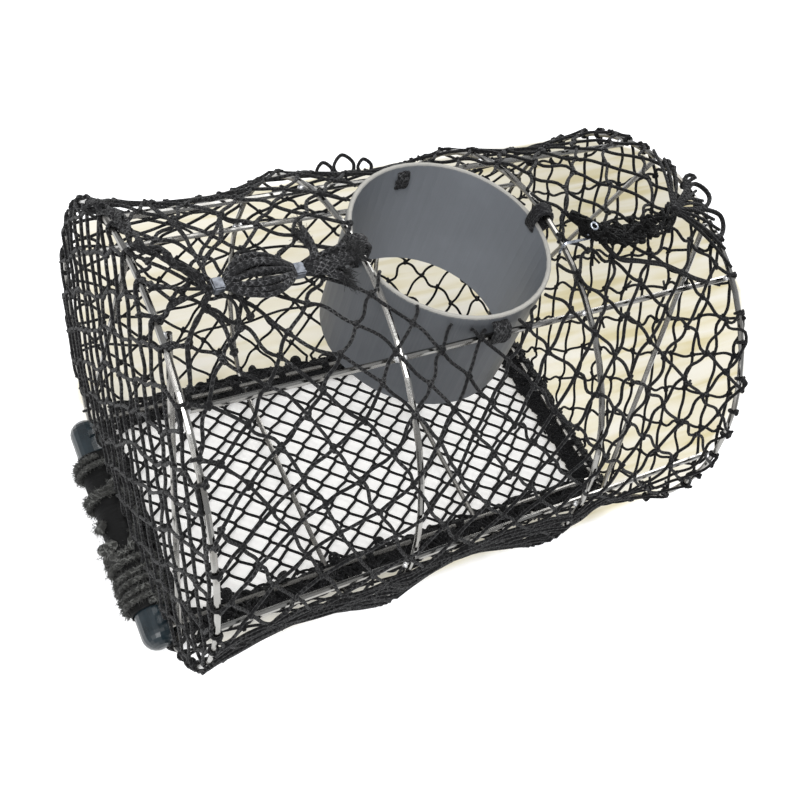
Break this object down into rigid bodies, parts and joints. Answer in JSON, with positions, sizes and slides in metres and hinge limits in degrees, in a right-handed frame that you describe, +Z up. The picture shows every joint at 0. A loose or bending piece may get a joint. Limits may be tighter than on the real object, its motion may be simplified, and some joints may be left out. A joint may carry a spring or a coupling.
{
  "type": "crab trap",
  "caption": "Round-topped crab trap on a rod frame, netted all round, with a flat floor, an upright entry pipe, a ballast bar and gathered closures on top.",
  "frame": {"origin": "centre of the whole object's footprint, on the ground", "axes": "+X along the trap away from the ballast bar, +Y away from the viewer of the picture, +Z up"},
  "size_m": [0.639, 0.4704, 0.4425],
  "materials": {
    "steel": "bright galvanised rod, lightly scuffed",
    "pipe": "grey drain pipe, satin, pale cut rim",
    "net": "black braided twine, knotted",
    "cord": "black braided cord",
    "edging": "gathered black netting laced into a roll",
    "bar": "smooth slate blue plastic over a weight",
    "sleeve": "black rubber, matt and creased",
    "rope": "worn, hairy dark rope",
    "crimp": "dull bright metal"
  },
  "bodies": {
    "trap": {"hoop_left_end": "steel", "hoop_left_middle": "steel", "hoop_right_middle": "steel", "hoop_right_end": "steel", "rod_top_near": "steel", "rod_top_far": "steel", "rod_side_near": "steel", "rod_side_far": "steel", "rod_floor_near": "steel", "rod_floor_far": "steel", "end_bar_left_near": "steel", "end_bar_left_far": "steel", "end_bar_right_near": "steel", "end_bar_right_far": "steel", "entry_pipe": "pipe", "pipe_tie_left": "cord", "pipe_tie_right": "cord", "pipe_tie_near": "cord", "pipe_tie_far": "cord", "floor_net": "net", "net_near_upper": "net", "net_near_lower": "net", "net_far_upper": "net", "net_far_lower": "net", "net_top_left": "net", "net_top_right": "net", "net_end_left": "net", "net_end_right": "net", "edging_near": "edging", "edging_far": "edging", "edging_left": "edging", "edging_right": "edging", "ballast_bar": "bar", "ballast_sleeve": "sleeve", "ballast_lashing": "rope", "gather_left": "net", "crimp_outer": "crimp", "closure_hank_left": "cord", "crimp_inner": "crimp", "closure_tail_left": "cord", "gather_right": "net", "closure_hank_right": "cord", "hook_tie": "cord"},
    "hook": {"closure_hook": "crimp"}
  },
  "joints": [
    {"name": "hook_lift", "type": "hinge", "parent": "trap", "child": "hook", "pos_m": [0.14153, -0.045, 0.42899], "axis": [0, 1, 0], "range_deg": [0, 70]}
  ]
}
